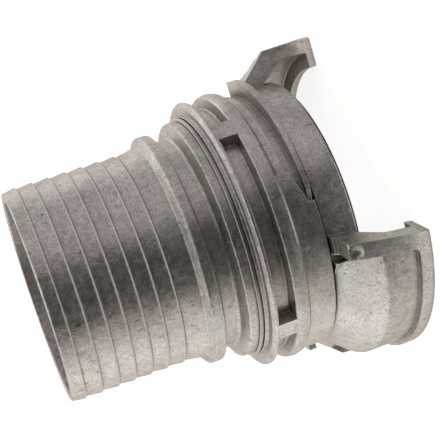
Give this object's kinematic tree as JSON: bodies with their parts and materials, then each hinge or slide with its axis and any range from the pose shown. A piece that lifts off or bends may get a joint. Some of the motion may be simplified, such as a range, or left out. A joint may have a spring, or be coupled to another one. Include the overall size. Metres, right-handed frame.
{
  "type": "fire hose coupling",
  "caption": "Quarter turn claw half coupling with a serrated hose shank, a turning locking ring with two ramps, and a face seal, for a large fire hose.",
  "frame": {"origin": "on the waterway axis, in the plane of the claw tips that the coupling stands on", "axes": "+Z along the waterway from the claw tips to the hose mouth, X through the middle of both claws"},
  "size_m": [0.1616, 0.1334, 0.163],
  "materials": {
    "coupling_body": "cast, bead blasted",
    "locking_ring": "cast, bead blasted",
    "snap_ring": "spring steel",
    "face_seal": "matt black"
  },
  "bodies": {
    "casting": {"coupling_body": "coupling_body", "snap_ring": "snap_ring", "face_seal": "face_seal"},
    "ring": {"locking_ring": "locking_ring"}
  },
  "joints": [
    {"name": "ring_turn", "type": "hinge", "parent": "casting", "child": "ring", "pos_m": [0, 0, 0.0572], "axis": [0, 0, 1], "range_deg": [-20, 70]}
  ]
}
